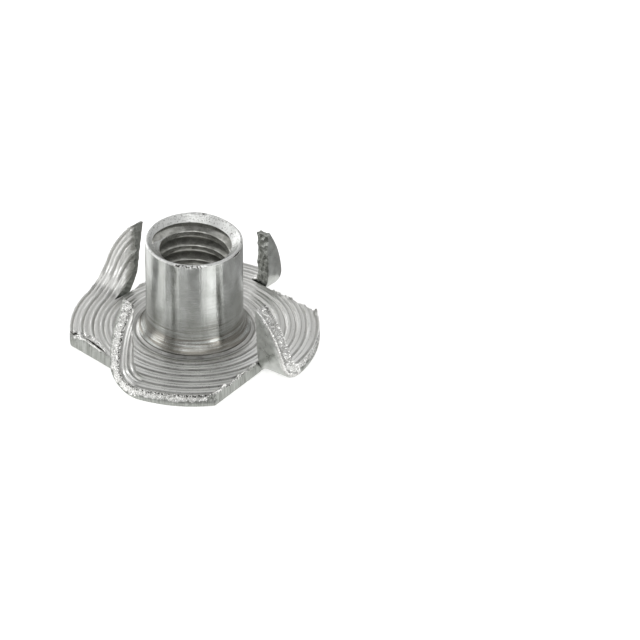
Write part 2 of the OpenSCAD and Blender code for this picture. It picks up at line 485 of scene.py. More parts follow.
# %% Walls of one cut
wall_step = 0.09
end_hole_r = 0.06
run_out = 0.7
tip_run_out = 0.4
tip_slant = (0.1, 0.0, 0.45, 0.15)
wall_wave = (0.2, 0.1, 0.14, 0.1)
wall_grit = (0.7, 0.3, 0.6, 0.8)


def cut_outline(k):
    """Points round one cut seen from above, each with the side that it belongs to."""
    near, far = cut_distance(k) - shear_gap, cut_distance(k)
    inner = cut_end(k)
    tip = math.sqrt((rim_r - 0.02) ** 2 - (far + tip_w) ** 2) - point_lost[k]
    beyond = math.sqrt(rim_r ** 2 - near ** 2) + run_out
    past_tip = math.sqrt(rim_r ** 2 - tip ** 2) + tip_run_out
    points = [(past_tip, b, "outside") for b in (beyond, tip + 0.2)]
    points += [(a, tip, "tip") for a in np.arange(past_tip, far, -wall_step)]
    points += [(far, b, "prong") for b in np.arange(tip, inner + end_hole_r, -wall_step)]
    for turn in range(60, -241, -50):
        a = (near + far) / 2 + end_hole_r * math.cos(math.radians(turn))
        points.append((a, inner + end_hole_r * math.sin(math.radians(turn)), "end"))
    points += [(near, b, "flange") for b in np.arange(inner + end_hole_r, beyond, wall_step)]
    points.append((near, beyond, "outside"))
    return points


def dragged(inward, size):
    """How far a rounded edge of a size has curved away at a distance in from the edge."""
    left = size - np.clip(inward, 0, size)
    return size - np.sqrt(np.maximum(size * size - left * left, 0))


print("points round each cut:", [len(cut_outline(k)) for k in prongs])

# %% Rough walls
lump_depth = 0.07
grit_depth = 0.06


def roughen(k, grid, sides):
    """Pushes the walls of one cut into the metal by noise, each by the side that it belongs to."""
    lumps = grain(grid, (0.3, 0.2, 0.5), 4 + k) * lump_depth
    rough = lumps + grain(grid, (0.2, 0.1, 0.14), 14 + k) * grit_depth
    wavy = grain(grid, (0.5, 0.8, 0.6), 24 + k) * wall_wave[k]
    # The walls are rougher towards the top, where the metal broke, and smoother at the start of the cut.
    torn = 0.25 + 0.75 * ramp(grid[:, 2], 0.7, 1.0)
    begun = 0.15 + 0.85 * ramp(grid[:, 1], cut_end(k), cut_end(k) + 1.5)
    grid[:, 0] -= np.where(sides == "flange", np.abs(rough) * torn * begun, 0)
    grid[:, 0] += np.where(sides == "prong", (np.abs(rough) * wall_grit[k] + np.abs(wavy)) * begun, 0)
    grid[:, 1] += np.where(sides == "tip", rough, 0)


print("rough by up to", round(lump_depth + grit_depth, 2), "mm, wavy by up to", max(wall_wave), "mm")

# %% One prism for each cut
levels = (-0.4, -0.1, 0.0, 0.03, 0.08, 0.15, 0.23, 0.32, 0.42, 0.52, 0.62, 0.72, 0.82, 0.92, 1.0, 1.06, 1.12,
          1.17, 1.3, 1.6)
roll_begins_over = 0.6


def cut_tool(k):
    """Closed prism with rough walls that shears one prong free."""
    outline = cut_outline(k)
    turn = fold_direction(k)
    grid = []
    for z in levels:
        for a, b, side in outline:
            if side == "flange":
                a -= dragged(z, flange_roll) * min(1, max(0, (b - cut_end(k)) / roll_begins_over))
            if side == "tip":
                b += tip_slant[k] * (0.5 - min(max(z / flange_t, 0), 1))
            grid.append((a, b, z))
    grid = np.array(grid)
    roughen(k, grid, np.array([side for _ in levels for _, _, side in outline]))
    points = np.column_stack([
        grid[:, 0] * math.cos(turn) + grid[:, 1] * math.sin(turn),
        grid[:, 0] * math.sin(turn) - grid[:, 1] * math.cos(turn),
        grid[:, 2]])
    n, rows = len(outline), len(levels)
    faces = [tuple(reversed(range(n))), tuple((rows - 1) * n + j for j in range(n))]
    for row in range(rows - 1):
        for j in range(n):
            here, beside = row * n + j, row * n + (j + 1) % n
            faces.append((here, beside, beside + n, here + n))
    return make_object(f"cut_tool_{k}", points, faces)


subtract(nut, [cut_tool(k) for k in prongs])
print("sheared:", len(nut.data.polygons), "faces")

# %% [markdown]
# ## Room for the largest burr
# One corner of the flange has a burr with a crack in it, and its forms are smaller than the faces there. Only
# that corner gets a finer mesh. Its edges are split before anything moves, so the surface stays where it was.

# %% Finer mesh in one corner
great_burr = 2
burr_reach = 1.25
shortest_split = 0.06


def refine_edges(body, chosen, cuts):
    """Splits the longer edges of a mesh where both ends pass a test on their places."""
    fine = bmesh.new()
    fine.from_mesh(body.data)
    bmesh.ops.triangulate(fine, faces=fine.faces[:])
    places = np.array([vertex.co for vertex in fine.verts])
    inside = chosen(places)
    edges = [edge for edge in fine.edges if all(inside[vertex.index] for vertex in edge.verts)]
    edges = [edge for edge in edges if edge.calc_length() > shortest_split]
    bmesh.ops.subdivide_edges(fine, edges=edges, cuts=cuts, use_grid_fill=True)
    bmesh.ops.triangulate(fine, faces=fine.faces[:])
    fine.to_mesh(body.data)
    fine.free()


def beside_great_burr(points):
    """True near the top of the flange beside the cut that has the largest burr."""
    out, across = along_fold(great_burr, points)
    inward = cut_distance(great_burr) - shear_gap - out
    return (inward > -0.05) & (inward < burr_reach) & (across > 1.6) & (across < 6) & (points[:, 2] > 0.7)


refine_edges(nut, beside_great_burr, 2)
print("with a finer corner:", len(nut.data.polygons), "faces")

# %% [markdown]
# ## One closed skin
# A cut that just grazes an edge leaves vertices almost on top of each other, pairs of faces folded flat on
# each other, and loose crumbs. Close vertices are merged, and both faces of each folded pair and every crumb
# are deleted. What is left is a single closed skin in which every edge joins two faces, as a solid has.

# %% Merge vertices that the cuts left on top of each other
closest = 0.0005


def largest_shell(faces):
    """The largest set of faces that hang together by their edges."""
    left = set(faces)
    shells = []
    while left:
        queue = [left.pop()]
        shell = set(queue)
        while queue:
            beside = {other for edge in queue.pop().edges for other in edge.link_faces} & left
            left -= beside
            shell |= beside
            queue += beside
        shells.append(shell)
    return max(shells, key=len)


def clean_mesh(body):
    """Merges vertices that are too close, and drops crumbs. Returns how many edges don't join two faces."""
    fine = bmesh.new()
    fine.from_mesh(body.data)
    bmesh.ops.remove_doubles(fine, verts=fine.verts[:], dist=closest)
    bmesh.ops.dissolve_degenerate(fine, edges=fine.edges[:], dist=closest)
    bmesh.ops.triangulate(fine, faces=fine.faces[:])
    by_corners = {}
    for face in fine.faces:
        by_corners.setdefault(frozenset(face.verts), []).append(face)
    flaps = [face for same in by_corners.values() if len(same) > 1 for face in same]
    bmesh.ops.delete(fine, geom=flaps, context="FACES")
    kept = largest_shell(fine.faces)
    crumbs = [face for face in fine.faces if face not in kept]
    bmesh.ops.delete(fine, geom=crumbs, context="FACES")
    print(len(flaps), "flaps and", len(crumbs), "crumbs dropped")
    unjoined = sum(not edge.is_manifold for edge in fine.edges)
    fine.to_mesh(body.data)
    fine.free()
    body.data.validate()
    return unjoined


print("edges that don't join two faces:", clean_mesh(nut))

# %% [markdown]
# ## Folding the prongs
# A bend keeps the length of the middle of the sheet, stretches the outside and squeezes the inside. That is a
# plain formula: below the start of the bend nothing moves, inside it a point turns round the bend's centre,
# and past it the point runs on straight. The formula is used on every vertex beyond each cut, so the rings,
# the rough edges and the thickness all go round the bend together, with no joint to hide.

# %% Formula of the fold
def fold(k, points):
    """Places of a prong's points after folding."""
    out, across = along_fold(k, points)
    start = -fold_setback[k]
    pivot = flange_t + bend_r[k]
    middle = bend_r[k] + flange_t / 2
    full = math.radians(fold_angle[k])
    past = np.maximum(across - start, 0)
    turn = np.minimum(past / middle, full)
    straight = prong_draw * np.maximum(past - middle * full, 0)
    lever = pivot - points[:, 2]
    side = -np.minimum(across, start) - lever * np.sin(turn) - straight * np.cos(turn)
    rise = pivot - lever * np.cos(turn) + straight * np.sin(turn)
    way = fold_direction(k)
    return np.column_stack([
        out * math.cos(way) - side * math.sin(way),
        out * math.sin(way) + side * math.cos(way),
        rise])


bend_lengths = [(bend_r[k] + flange_t / 2) * math.radians(fold_angle[k]) for k in prongs]
print("metal in each bend:", [round(length, 2) for length in bend_lengths], "mm")

# %% Where every vertex is on the flat blank
count = len(nut.data.vertices)
flat = np.empty(count * 3, np.float32)
nut.data.vertices.foreach_get("co", flat)
flat = flat.reshape(-1, 3).astype(float)
drawn = flat.copy()
print(count, "vertices")

# %% [markdown]
# ## The metal that the shear dragged
# A shear does more than cut. Its punch comes up from below, pulls the skin of each prong down round the edge
# that it leaves, and squeezes a burr out of the flange on the other side of the cut. The rings run on over
# the rounded edge. So the skin is lowered or raised beside each cut, which keeps the rings on it.

# %% Drag the skin down beside each prong's cut
# How fast the rolled edge grows along the cut, the share of the prong that it may take, and its unevenness.
roll_growth = (0.45, 0.26, 0.45, 0.45)
roll_share = (0.4, 0.55, 0.4, 0.4)
roll_unevenness = (0.7, 0.25, 0.3, 0.3)


def roll_size(k, across):
    """Radius of the dragged edge of a prong at each distance across its fold line."""
    width = np.sqrt(np.maximum(rim_r ** 2 - across ** 2, 0)) - cut_distance(k)
    begun = roll_growth[k] * np.maximum(across - cut_end(k), 0)
    size = np.minimum(np.minimum(prong_roll[k], width * roll_share[k]), begun)
    spots = np.column_stack([across, np.full(len(across), k), np.zeros(len(across))])
    return np.maximum(size * (1 + roll_unevenness[k] * grain(spots, 0.55, 33)), 0.01)


for k in prongs:
    out, across = along_fold(k, flat)
    drop = np.where(in_prong(k, flat), dragged(out - cut_distance(k), roll_size(k, across)), 0)
    drawn[:, 2] -= drop * ramp(flat[:, 2], 0.2, flange_t)
    print("prong", k, "skin dragged down by", round(drop.max(), 2), "mm")

# %% Raise a burr on the flange beside each cut
# Height and width in mm, and where along the cut it starts.
burr_height = (0.17, 0.06, 0.0, 0.17)
burr_width = (0.2, 0.12, 0.2, 0.2)
burr_start = (0.6, 0.5, 2.2, 0.8)


def bell(values, centre, width):
    """1 at a centre, falling away on both sides."""
    return np.exp(-((values - centre) / width) ** 2)


def burr_rise(k, points):
    """Height in mm of the burr on the flange beside a cut."""
    out, across = along_fold(k, points)
    inward = cut_distance(k) - shear_gap - out
    strength = ramp(across, burr_start[k], burr_start[k] + 0.5) * ramp(points[:, 2], flange_t - 0.3, flange_t)
    beside = np.exp(-(np.maximum(inward, 0) / burr_width[k]) ** 2) * (inward > -shear_gap / 2)
    lumps = np.clip(0.3 + 2.2 * grain(points, 0.45, 40 + k) + 0.8 * grain(points, 0.13, 50 + k), 0, 2)
    return burr_height[k] * strength * beside * lumps


for k in prongs:
    raised = burr_rise(k, flat)
    drawn[:, 2] += raised
    print("burr", k, "up to", round(raised.max(), 3), "mm high")

# %% The great burr: a lip along the cut, a crack behind it and a flap behind that
# Each bump of the lip has a place along the cut, a width and a height. The flap wanders in from the cut.
lip_bumps = ((4.05, 0.55, 0.33), (2.95, 0.55, 0.2), (5.2, 0.3, -0.26))
lip_w = 0.11
flap_along = (1.8, 3.0, 4.2, 4.9, 5.4, 5.7)
flap_inward = (0.15, 0.55, 0.9, 0.75, 0.5, 0.1)
flap_height = 0.2
droplet_height = 0.2
droplet_along = 4.85
crack_depth = 0.15
crack_w = 0.065


def great_burr_shape(points):
    """Rise of the great burr in mm, and how deep in its crack each point lies, from 0 to 1."""
    out, across = along_fold(great_burr, points)
    inward = cut_distance(great_burr) - shear_gap - out
    near_cut = (inward > -shear_gap / 2) & (inward < burr_reach) & (across > 1.5)
    shaken = across + 0.1 * grain(points, 0.3, 81)
    lip_rise = sum(high * bell(shaken, place, wide) for place, wide, high in lip_bumps)
    lip = lip_rise * np.exp(-(np.maximum(inward - 0.03, 0) / lip_w) ** 2)
    flap_way = np.interp(across, flap_along, flap_inward) + 0.07 * grain(points, 0.4, 82)
    flap_rise = flap_height * ramp(across, 1.9, 2.4) * (1 - 0.8 * bell(across, 4.3, 0.2))
    flap = flap_rise * bell(inward, flap_way, 0.14)
    droplet = droplet_height * bell(across, droplet_along, 0.34) * bell(inward, 0.28, 0.24)
    in_crack = bell(inward, flap_way * 0.5 + 0.08, crack_w) * ramp(across, 2.0, 2.5)
    in_crack = np.where(near_cut, in_crack * (1 - bell(across, droplet_along, 0.45)), 0)
    top_share = ramp(points[:, 2], flange_t - 0.45, flange_t)
    share = np.where(lip < 0, ramp(points[:, 2], 0.3, flange_t), top_share)
    rise = lip + flap + droplet - crack_depth * in_crack
    return np.where(near_cut, rise * share, 0), in_crack * top_share


great, great_crack = great_burr_shape(flat)
drawn[:, 2] += great
print("great burr from", round(great.min(), 2), "to", round(great.max(), 2), "mm")

# %% [markdown]
# ## Folding it all at once
# Every vertex beyond a cut goes through the fold's formula. Inward of the end of the cut nothing parts the
# prong from the flange, so the two share the bend across a narrow valley: a smooth weight runs from none of
# the fold to all of it. Past the end of the cut the two edges part within a short distance, as torn metal
# does.

# %% Fold every prong
valley_half = 0.5
tear_open = 0.9


def smooth(values, low, high):
    """0 below low, 1 above high, and an S-shaped curve between."""
    part = ramp(values, low, high)
    return part * part * (3 - 2 * part)


def fold_share(k, points):
    """Share of the fold that each point takes: all of it in the prong, and some beside the end of the cut."""
    out, across = along_fold(k, points)
    shared = smooth(out, cut_distance(k) - valley_half, cut_distance(k) + valley_half)
    opened = smooth(across, cut_end(k), cut_end(k) + tear_open)
    share = np.where(in_prong(k, points), shared + (1 - shared) * opened, shared * (1 - opened))
    return np.where(across > -fold_setback[k], share, 0)


shaped = drawn.copy()
for k in prongs:
    share = fold_share(k, flat)
    chosen = share > 0
    part = share[chosen][:, None]
    shaped[chosen] = drawn[chosen] * (1 - part) + fold(k, drawn[chosen]) * part
    print("prong", k, "moved", int(chosen.sum()), "vertices, top at", round(shaped[chosen][:, 2].max(), 2))

# %% [markdown]
# ## Which face had which finish
# The blank is still flat in the first set of points, and there the faces are easy to tell apart: by distance
# from the axis, by height, and by the way that they look. Later rules win over earlier ones: the whole nut is
# turned, then its rings, its pressed side and its cut walls are picked out, and the small marks come last.

# %% Centre and direction of every face on the flat blank
nut.data.vertices.foreach_set("co", flat.astype(np.float32).ravel())
nut.data.update()
n_faces = len(nut.data.polygons)
centres = np.empty(n_faces * 3, np.float32)
normals = np.empty(n_faces * 3, np.float32)
nut.data.polygons.foreach_get("center", centres)
nut.data.polygons.foreach_get("normal", normals)
centres, normals = centres.reshape(-1, 3).astype(float), normals.reshape(-1, 3)
face_r = np.hypot(centres[:, 0], centres[:, 1])
face_z = centres[:, 2]
steep = np.abs(normals[:, 2]) < 0.75
print(n_faces, "faces,", int(steep.sum()), "of them steep")

# %% Finishes of the turned and pressed faces
TURNED, COUNTERSUNK, RINGED, PRESSED, SHEARED, BROKEN, TAPPED, SQUEEZED = range(8)
finish = np.full(n_faces, TURNED)
finish[(face_r > foot_r + 0.01) & (face_z > 0.6)] = RINGED
finish[(face_r > lead_in_r - 0.02) & (normals[:, 2] < -0.5)] = PRESSED
print("faces by finish:", np.bincount(finish).tolist())

# %% Finishes of the rim and the cut walls
# Height in mm from which each wall is broken instead of sheared. One above the top is sheared all the way.
lobe_broken_from = 0.6
flange_wall_broken_from = 1.02
rim_broken_from = (0.4, 0.4, 0.35, -1.0)
wall_broken_from = (2.0, 2.0, 0.3, 0.0)
ragged_by = 0.15
at_rim = (face_r > rim_r - 0.4) & steep
ragged = face_z + grain(centres, (0.3, 0.3, 0.6), 70) * ragged_by
on_prong = np.any([in_prong(k, centres) for k in prongs], axis=0)
finish[at_rim] = SHEARED
finish[at_rim & (ragged > lobe_broken_from) & ~on_prong] = BROKEN
for k in prongs:
    finish[at_rim & (ragged > rim_broken_from[k]) & in_prong(k, centres)] = BROKEN
    out, across = along_fold(k, centres)
    wall = (np.abs(out - cut_distance(k)) < 0.6) & (across > cut_end(k) - 0.2) & (face_r > 5) & steep
    finish[wall] = SHEARED
    finish[wall & in_prong(k, centres) & (ragged > wall_broken_from[k])] = BROKEN
    finish[wall & ~in_prong(k, centres) & (ragged > flange_wall_broken_from) & (k != great_burr)] = BROKEN
print("faces by finish:", np.bincount(finish).tolist())

# %% Finishes of the thread, the mouth and the marks
bright_burr = 3
least_burr = 0.06
least_crack = 0.3
least_mark = 0.12
in_bore = (face_r < thread_outer_r + 0.03) & (face_z > 1.2) & (face_z < mouth_base + 0.7)
off_cone = np.abs(face_z + sink_depth(centres) - mouth_base - (face_r - bore_r))
on_cone = (off_cone < 0.08) & (normals[:, 2] > 0.55) & (normals[:, 2] < 0.8)
finish[in_bore & ~on_cone] = TAPPED
finish[(face_z > mouth_base - 0.3) & (face_r < mouth_r + 0.06) & (finish != TAPPED)] = COUNTERSUNK
rise, in_crack = great_burr_shape(centres)
rise = rise + burr_rise(bright_burr, centres)
finish[((rise > least_burr) | (in_crack > least_crack)) & (face_z > 1.1)] = SQUEEZED
lip_faces = (face_z + sink_depth(centres) > top_z - lip_wear) & (face_r < barrel_r - 0.01)
finish[lip_faces & (finish == TURNED)] = COUNTERSUNK
marked = lip_marks(centres, top_z - face_z - sink_depth(centres)) > least_mark
finish[marked & (face_z > mouth_base)] = SQUEEZED
print("faces by finish:", np.bincount(finish).tolist())

# %% Remember the flat blank and the painted shade of the cracks, and scale to metres
lip_shade = 1.7
flat_places = nut.data.attributes.new("flat_mm", "FLOAT_VECTOR", "POINT")
flat_places.data.foreach_set("vector", flat.astype(np.float32).ravel())
# The crack in the great burr and the marks at the lip get painted shade from this attribute.
dark_places = nut.data.attributes.new("crack", "FLOAT", "POINT")
lip_crack = lip_shade * lip_marks(flat, top_z - flat[:, 2] - sink_depth(flat)) * (flat[:, 2] > mouth_base)
dark_places.data.foreach_set("value", np.maximum(great_crack, lip_crack).astype(np.float32))
nut.data.vertices.foreach_set("co", (shaped * MM).astype(np.float32).ravel())
nut.data.materials.clear()
nut.data.polygons.foreach_set("material_index", finish.astype(np.int32))
nut.data.polygons.foreach_set("use_smooth", np.ones(n_faces, bool))
nut.data.set_sharp_from_angle(angle=math.radians(34))
nut.data.update()
nut.name = "tee_nut_metal"
print("lowest and highest point in mm:", round(shaped[:, 2].min(), 3), round(shaped[:, 2].max(), 3))

# %% [markdown]
# ## Stainless steel, eight ways
# Every surface here is the same alloy, and what differs is how it was made. That is why the colours stay
# close together, and the roughness and the bumps do most of the work. Each finish starts as full metal with
# the default IOR, at a roughness usual for it, from 0.2 where a tool left it smooth to 0.36 where it was
# sheared. All patterns are laid out on the flat blank, in millimetres, so they follow the prongs round their
# bends.

# %% Colours and nodes
def linear(colour):
    """Linear colour, with alpha, of an sRGB hex value."""
    parts = [int(colour[i:i + 2], 16) / 255 for i in (1, 3, 5)]
    return [p / 12.92 if p <= 0.04045 else ((p + 0.055) / 1.055) ** 2.4 for p in parts] + [1.0]


def connect(node, links):
    """Feeds a node's inputs, each from a socket or from the first output that another node has in use."""
    for key, source in links.items():
        if isinstance(source, bpy.types.Node):
            source = next(output for output in source.outputs if output.enabled)
        node.id_data.links.new(source, node.inputs[key])


def add_node(tree, kind, settings=None, links=None):
    """Adds a node. Settings are its properties or the values of its inputs, and links feed its inputs."""
    node = tree.nodes.new("ShaderNode" + kind)
    for key, value in (settings or {}).items():
        if isinstance(key, str) and hasattr(node, key):
            setattr(node, key, value)
        else:
            node.inputs[key].default_value = value
    connect(node, links or {})
    return node


print("#CACAC7 is", [round(part, 2) for part in linear("#CACAC7")[:3]], "in linear light")

# %% A new material of steel
def steel(name, roughness, anisotropy=0.0):
    """Material with a metal shader, its tree, the shader, and the place on the flat blank in mm."""
    material = bpy.data.materials.new(name)
    material.use_nodes = True
    tree = material.node_tree
    shader = tree.nodes["Principled BSDF"]
    shader.inputs["Metallic"].default_value = 1.0
    shader.inputs["Roughness"].default_value = roughness
    shader.inputs["Anisotropic"].default_value = anisotropy
    place = add_node(tree, "Attribute", {"attribute_name": "flat_mm"}).outputs["Vector"]
    nut.data.materials.append(material)
    return tree, shader, place


print("patterns are laid out on", len(flat), "places of the flat blank")

# %% [markdown]
# ### Patterns, relief and coats of colour
# Three things are done for every finish, so each is one function that adds as many nodes as the job needs. A
# pattern is noise whose grains have a real size. Relief lays patterns on each other, each with its depth in
# millimetres. A colour starts from a ground, and coats of oil, dirt or polish are laid over it. Where only
# one node is needed, such as a product or a range, the finish adds it directly. The inputs of a MapRange node
# are numbered: 1 and 2 are where the value starts and ends, 3 and 4 are what comes out there. Either pair is
# 0 and 1 where it isn't given.

# %% Patterns, relief and coats of colour
def speckle(tree, place, size, detail=2.0):
    """Noise from 0 to 1 whose grains have the given size in mm along each axis."""
    scaled = add_node(tree, "VectorMath", {"operation": "DIVIDE", 1: size}, {0: place})
    return add_node(tree, "TexNoise", {"Scale": 1.0, "Detail": detail}, {"Vector": scaled})


def relief(tree, *layers):
    """Bump of several layers, each a pattern from 0 to 1 and its real depth in mm."""
    below = {}
    for pattern, depth in layers:
        bump = add_node(tree, "Bump", {"Distance": depth * MM, "Strength": 1.0}, {"Height": pattern, **below})
        below = {"Normal": bump}
    return bump


def painted(tree, ground, *coats):
    """Colour of a ground with coats over it, each an amount from 0 to 1 and a colour. Colours are hex."""
    settings, below = {"data_type": "RGBA", 6: linear(ground)}, {}
    for amount, colour in coats:
        coat = add_node(tree, "Mix", {**settings, 7: linear(colour)}, {0: amount, **below})
        settings, below = {"data_type": "RGBA"}, {6: coat}
    return coat


print("a relief of 0.01 mm is a bump distance of", 0.01 * MM, "m")

# %% [markdown]
# ### Turned stainless steel
# The barrel, the flare at its root and the mouth are as the lathe left them: bright, with fine circular tool
# marks that draw every reflection out into an upright streak. The marks are under 0.05 mm apart, too fine to
# show one by one, so the anisotropic shader stands for most of them, and a few are drawn 0.07 mm apart. Near
# the root the tool moved faster: the marks there are 0.17 mm apart, and are coloured darker and browner.

# %% Turned
tree, shader, place = steel("turned_stainless", 0.2, 0.8)
shader.inputs["Anisotropic Rotation"].default_value = 0.25
level = add_node(tree, "SeparateXYZ", links={0: place}).outputs["Z"]
near_foot = add_node(tree, "MapRange", {1: 2.0, 2: 4.2, 3: 1.0, 4: 0.0}, {0: level})
marks = speckle(tree, place, (6.0, 6.0, 0.07), 1.0)
flutes = speckle(tree, place, (0.22, 0.22, 9.0), 4.0)
clouds = speckle(tree, place, (0.8, 0.8, 1.3), 4.0)
# Polishing grit is about 0.03 mm, too fine to show, so its marks are drawn 0.1 mm wide.
grit = speckle(tree, place, (0.1, 0.1, 0.35), 3.0)
coarse = speckle(tree, place, (5.0, 5.0, 0.17), 2.0)
foot_lines = add_node(tree, "Math", {"operation": "MULTIPLY"}, {0: coarse, 1: near_foot})
bumped = relief(tree, (marks, 0.014), (flutes, 0.012), (clouds, 0.004), (grit, 0.005), (foot_lines, 0.05))
mottled = add_node(tree, "MapRange", {1: 0.35, 2: 0.65}, {0: clouds})
# The coarse marks near the root are coloured darker and browner.
in_marks = add_node(tree, "MapRange", {1: 0.6, 2: 0.4}, {0: coarse})
darkening = add_node(tree, "Math", {"operation": "MULTIPLY"}, {0: in_marks, 1: near_foot})
gloss = add_node(tree, "MapRange", {1: 0.3, 2: 0.7, 3: 0.14, 4: 0.26}, {0: clouds})
foot_gloss = add_node(tree, "MapRange", {3: 0.14, 4: 0.27}, {0: near_foot})
duller = add_node(tree, "Math", {"operation": "MAXIMUM"}, {0: gloss, 1: foot_gloss})
colour = painted(tree, "#A9ABA7", (mottled, "#C2C4C1"), (darkening, "#85827B"))
upright = add_node(tree, "Tangent", {"direction_type": "RADIAL", "axis": "Z"})
connect(shader, {"Base Color": colour, "Normal": bumped, "Roughness": duller, "Tangent": upright})
print("turned:", len(tree.nodes), "nodes")

# %% [markdown]
# ### Countersunk stainless steel
# The cone at the mouth was cut by another tool, which left it lighter and duller than the barrel, with
# scratches round it and small pits. The worn lip looks the same.

# %% Countersunk
tree, shader, place = steel("countersunk_stainless", 0.34)
# The scratches are 0.02 mm wide and the pits 0.05 mm, so both are drawn coarser to show.
scratches = speckle(tree, place, (0.9, 0.9, 0.08), 2.0)
pits = speckle(tree, place, (0.14, 0.14, 0.14), 3.0)
smooth_share = add_node(tree, "MapRange", {1: 0.34, 2: 0.48}, {0: pits})
gloss = add_node(tree, "MapRange", {1: 0.3, 2: 0.7, 3: 0.26, 4: 0.42}, {0: pits})
colour = painted(tree, "#B4B5B2", (smooth_share, "#E0E1DF"))
bumped = relief(tree, (scratches, 0.02), (pits, 0.011))
connect(shader, {"Base Color": colour, "Normal": bumped, "Roughness": gloss})
print("countersunk:", len(tree.nodes), "nodes")

# %% [markdown]
# ### Ringed stainless steel
# The tool stepped outward as it faced the flange, and each step left a groove with a finer line between. The
# grooves get painted shade, stronger in front and near the barrel, while their shoulders get a painted
# highlight. In front, the lands between them get painted light as well.

# %% Rings of the ringed face
tree, shader, place = steel("ringed_stainless", 0.34)
level = add_node(tree, "VectorMath", {"operation": "MULTIPLY", 1: (1, 1, 0)}, {0: place})
far = add_node(tree, "VectorMath", {"operation": "LENGTH"}, {0: level})


def ring_band(radius, half, soft, pitch=0.0):
    """1 within half a width of a ring, or of every ring a pitch apart, fading to 0 over a soft edge."""
    off = add_node(tree, "Math", {"operation": "SUBTRACT", 1: radius}, {0: far})
    if pitch:
        off = add_node(tree, "Math", {"operation": "WRAP", 1: pitch / 2, 2: -pitch / 2}, {0: off})
    size = add_node(tree, "Math", {"operation": "ABSOLUTE"}, {0: off})
    return add_node(tree, "MapRange", {1: half, 2: half + soft, 3: 1.0, 4: 0.0}, {0: size})


shoulder_out = 0.2
grooves = ring_band(first_groove_r, 0.07, 0.06, groove_pitch)
fine_lines = ring_band(first_groove_r + groove_pitch / 2, 0.03, 0.06, groove_pitch)
shoulders = ring_band(first_groove_r + shoulder_out, 0.03, 0.05, groove_pitch)
foot_groove = ring_band(foot_groove_r, 0.17, 0.12)
print("ring patterns:", len(tree.nodes), "nodes")

# %% Painted shade in the grooves
uneven = speckle(tree, place, (0.9, 0.9, 0.9), 3.0)
sides = add_node(tree, "SeparateXYZ", links={0: place})
# The grooves get painted shade, stronger in front and near the barrel, where the barrel shades the flange.
ahead = add_node(tree, "MapRange", {1: -1.5, 2: -4.5}, {0: sides.outputs["Y"]})
shade_in_front = add_node(tree, "MapRange", {3: 0.32, 4: 0.85}, {0: ahead})
shade_near_barrel = add_node(tree, "MapRange", {1: 4.8, 2: 9.2, 3: 1.0, 4: 0.7}, {0: far})
darkening = add_node(tree, "Math", {"operation": "MULTIPLY"}, {0: shade_in_front, 1: shade_near_barrel})
deep = add_node(tree, "Math", {"operation": "MAXIMUM"}, {0: grooves, 1: foot_groove})
deep_share = add_node(tree, "MapRange", {1: 0.3, 2: 0.55, 3: 0.65, 4: 1.0}, {0: uneven})
deep_groove_shade = add_node(tree, "Math", {"operation": "MULTIPLY"}, {0: deep, 1: deep_share})
fine_share = add_node(tree, "MapRange", {1: 0.4, 2: 0.65, 3: 0.3, 4: 0.7}, {0: uneven})
fine_line_shade = add_node(tree, "Math", {"operation": "MULTIPLY"}, {0: fine_lines, 1: fine_share})
all_groove_shade = add_node(tree, "Math", {"operation": "MAXIMUM"}, {0: deep_groove_shade, 1: fine_line_shade})
# Painted shade in the deep grooves and the fine lines, uneven along them.
groove_shade = add_node(tree, "Math", {"operation": "MULTIPLY"}, {0: all_groove_shade, 1: darkening})
print("with grime:", len(tree.nodes), "nodes")

# %% Ringed
# The groove shoulders are raised as bumps and get a painted highlight, and the lands in front get painted
# light.
shoulder_share = add_node(tree, "MapRange", {1: 0.35, 2: 0.65, 3: 0.3, 4: 1.0}, {0: uneven})
shoulder_bump_and_highlight = add_node(tree, "Math", {"operation": "MULTIPLY"}, {0: shoulders, 1: shoulder_share})
light_in_front = add_node(tree, "MapRange", {3: 0.0, 4: 0.85}, {0: ahead})
painted_highlight = add_node(tree, "Math", {"operation": "MAXIMUM"}, {0: shoulder_bump_and_highlight, 1: light_in_front})
# The facing tool's marks are 0.1 mm apart with hairlines between. They vary slowly on their way round.
ringed = add_node(tree, "CombineXYZ", links={0: far, 1: sides.outputs["X"], 2: sides.outputs["Y"]})
fine = speckle(tree, ringed, (0.1, 16.0, 16.0), 3.0)
hair = speckle(tree, ringed, (0.05, 5.0, 5.0), 1.0)
# Dust grains are about 0.03 mm, too fine to show, so the grit is drawn at 0.12 mm.
grit = speckle(tree, place, (0.12, 0.12, 0.12), 2.0)
streaked = add_node(tree, "MapRange", {1: 0.35, 2: 0.65}, {0: fine})
gloss = add_node(tree, "MapRange", {1: 0.3, 2: 0.7, 3: 0.26, 4: 0.44}, {0: grit})
# Painted highlight (#F8F8F6) on the shoulders and the lands in front, and painted shade (#53524D) in the
# grooves.
colour = painted(tree, "#CACAC7", (streaked, "#E7E7E4"), (painted_highlight, "#F8F8F6"), (groove_shade, "#53524D"))
bumped = relief(tree, (fine, 0.014), (hair, 0.006), (grit, 0.006), (shoulder_bump_and_highlight, 0.03))
connect(shader, {"Base Color": colour, "Normal": bumped, "Roughness": gloss})
print("ringed:", len(tree.nodes), "nodes")

# %% [markdown]
# ### Pressed stainless steel
# The underside and the outer faces of the prongs lay against the press. They are smooth and a little cloudy,
# with faint scuffs where they slid over the tool.

# %% Pressed
tree, shader, place = steel("pressed_stainless", 0.3)
clouds = speckle(tree, place, (0.7, 0.7, 0.7), 4.0)
